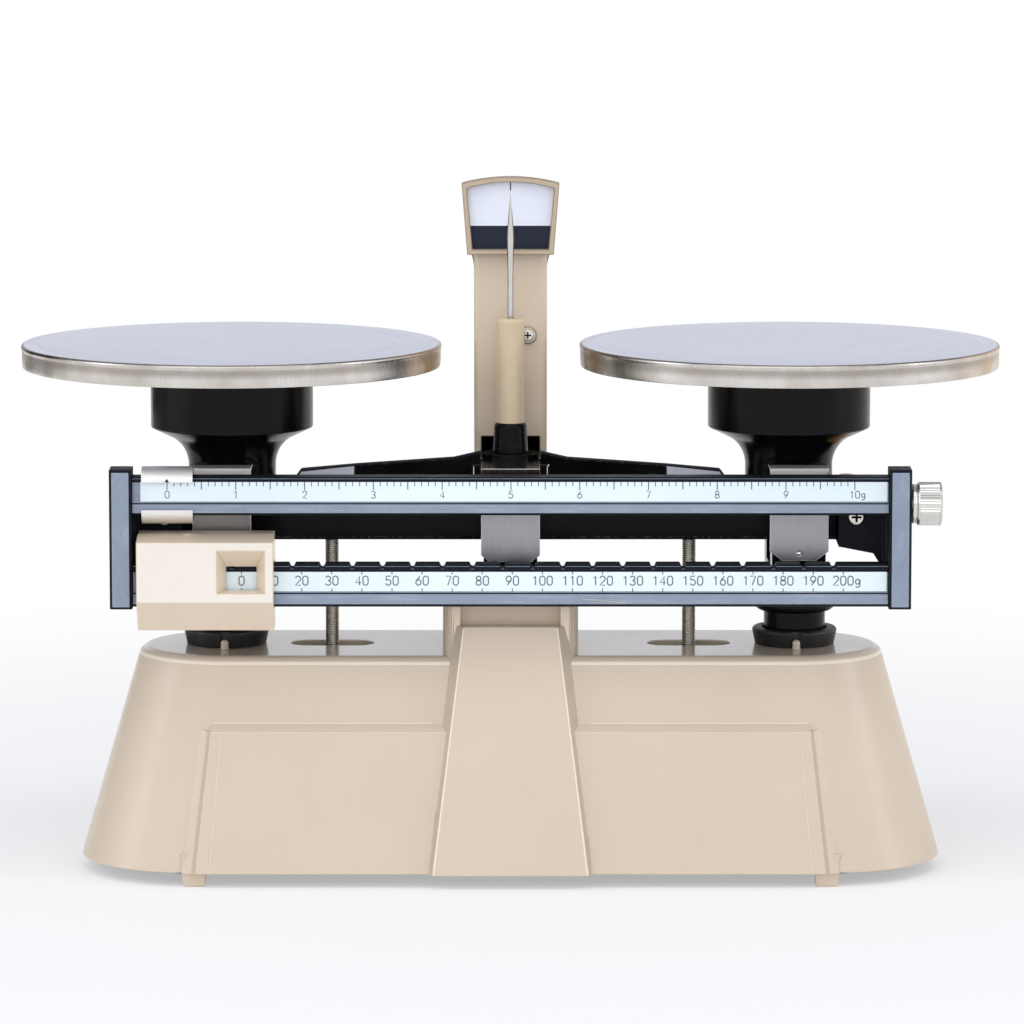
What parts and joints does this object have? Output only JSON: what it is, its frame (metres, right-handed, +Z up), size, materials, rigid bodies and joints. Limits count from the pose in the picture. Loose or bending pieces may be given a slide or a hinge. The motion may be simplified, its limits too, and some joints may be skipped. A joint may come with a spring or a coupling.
{
  "type": "balance scale",
  "caption": "Pan balance scale: knife-edge beam kept level by a hidden check link, notched sliding weight, fine rider, zero nut, pointer and dial on a hollow moulded base.",
  "frame": {"origin": "on the ground plane, under the middle of the beam", "axes": "+X along the beam towards the zero nut, +Y to the back, +Z up"},
  "size_m": [0.3492, 0.15, 0.2482],
  "materials": {
    "beige_enamel": "semi-gloss stoving enamel",
    "cream_enamel": "semi-gloss stoving enamel",
    "slate_enamel": "satin paint with a blue sheen",
    "black_enamel": "gloss black enamel",
    "black_moulding": "gloss moulded",
    "ivory_moulding": "matte moulded",
    "dial_card": "printed white and navy",
    "printed_scale": "white coated and printed",
    "satin_steel": "brushed stainless sheet",
    "nickel_plate": "bright nickel plate",
    "tool_steel": "hardened and ground",
    "thread_steel": "oiled threaded bar",
    "turned_brass": "turned",
    "black_rubber": "moulded rubber",
    "primed_sheet": "grey primer"
  },
  "bodies": {
    "base": {"base_housing": "beige_enamel", "bottom_plate": "primed_sheet", "bottom_screws": "nickel_plate", "left_stem_collar": "black_rubber", "right_stem_collar": "black_rubber", "fulcrum_stand": "black_enamel", "stand_screws": "nickel_plate", "fulcrum_bearings": "tool_steel", "pointer_tower": "beige_enamel", "tower_screws": "nickel_plate", "panel_screw": "nickel_plate", "dial_frame": "beige_enamel", "dial_plate": "dial_card", "check_bracket": "primed_sheet", "bracket_screws": "nickel_plate", "check_pin": "tool_steel"},
    "beam": {"main_beam": "black_enamel", "fulcrum_knife": "tool_steel", "left_knife": "tool_steel", "right_knife": "tool_steel", "fulcrum_cover": "satin_steel", "left_end_bracket": "slate_enamel", "right_end_bracket": "slate_enamel", "rail_screws": "nickel_plate", "arm_screws": "nickel_plate", "upper_rail": "slate_enamel", "lower_rail": "slate_enamel", "upper_scale": "printed_scale", "lower_scale": "printed_scale", "zero_stud": "thread_steel", "pointer_hub": "black_moulding", "pointer_sleeve": "ivory_moulding", "pointer_needle": "nickel_plate", "stop_rods": "thread_steel", "stop_nuts": "thread_steel", "counterweight": "turned_brass"},
    "check_link": {"check_beam": "black_enamel", "check_bushes": "turned_brass"},
    "left_support": {"left_pan_support": "black_moulding", "left_bearings": "tool_steel", "left_knife_covers": "satin_steel", "left_cover_rivets": "nickel_plate", "left_stem": "black_enamel", "left_stem_pin": "tool_steel"},
    "right_support": {"right_pan_support": "black_moulding", "right_bearings": "tool_steel", "right_knife_covers": "satin_steel", "right_cover_rivets": "nickel_plate", "right_stem": "black_enamel", "right_stem_pin": "tool_steel"},
    "left_dish": {"left_pan": "satin_steel", "left_pan_spigot": "satin_steel"},
    "right_dish": {"right_pan": "satin_steel", "right_pan_spigot": "satin_steel"},
    "poise": {"poise_shell": "cream_enamel", "poise_back": "cream_enamel", "poise_pawl": "tool_steel"},
    "rider": {"rider_clip": "satin_steel"},
    "zero_washer": {"zero_ring": "nickel_plate"},
    "zero_nut": {"zero_knob": "nickel_plate"}
  },
  "joints": [
    {"name": "beam_swing", "type": "hinge", "parent": "base", "child": "beam", "pos_m": [0, 0, 0.128], "axis": [0, 1, 0], "range_deg": [-3.3, 3.3]},
    {"name": "left_pan_level", "type": "hinge", "parent": "beam", "child": "left_support", "pos_m": [-0.102, 0, 0.128], "axis": [0, 1, 0], "range_deg": [-3.4, 3.4]},
    {"name": "right_pan_level", "type": "hinge", "parent": "beam", "child": "right_support", "pos_m": [0.102, 0, 0.128], "axis": [0, 1, 0], "range_deg": [-3.4, 3.4]},
    {"name": "check_swing", "type": "hinge", "parent": "base", "child": "check_link", "pos_m": [0, 0, 0.03], "axis": [0, 1, 0], "range_deg": [-3.4, 3.4]},
    {"name": "poise_slide", "type": "slide", "parent": "beam", "child": "poise", "axis": [1, 0, 0], "range_m": [0, 0.2112]},
    {"name": "rider_slide", "type": "slide", "parent": "beam", "child": "rider", "axis": [1, 0, 0], "range_m": [0, 0.2409]},
    {"name": "left_pan_lift", "type": "slide", "parent": "left_support", "child": "left_dish", "axis": [0, 0, 1], "range_m": [0, 0.03]},
    {"name": "right_pan_lift", "type": "slide", "parent": "right_support", "child": "right_dish", "axis": [0, 0, 1], "range_m": [0, 0.03]},
    {"name": "zero_travel", "type": "slide", "parent": "beam", "child": "zero_washer", "axis": [1, 0, 0], "range_m": [0, 0.0035]},
    {"name": "zero_turn", "type": "hinge", "parent": "zero_washer", "child": "zero_nut", "pos_m": [0.147, -0.0436, 0.1374], "axis": [1, 0, 0], "range_deg": [0, 1800]}
  ],
  "couplings": [
    {"joint": "left_pan_level", "follows": "beam_swing", "ratio": -1},
    {"joint": "right_pan_level", "follows": "beam_swing", "ratio": -1},
    {"joint": "check_swing", "follows": "beam_swing", "ratio": 1},
    {"joint": "zero_turn", "follows": "zero_travel", "rad_per_m": 8976}
  ]
}
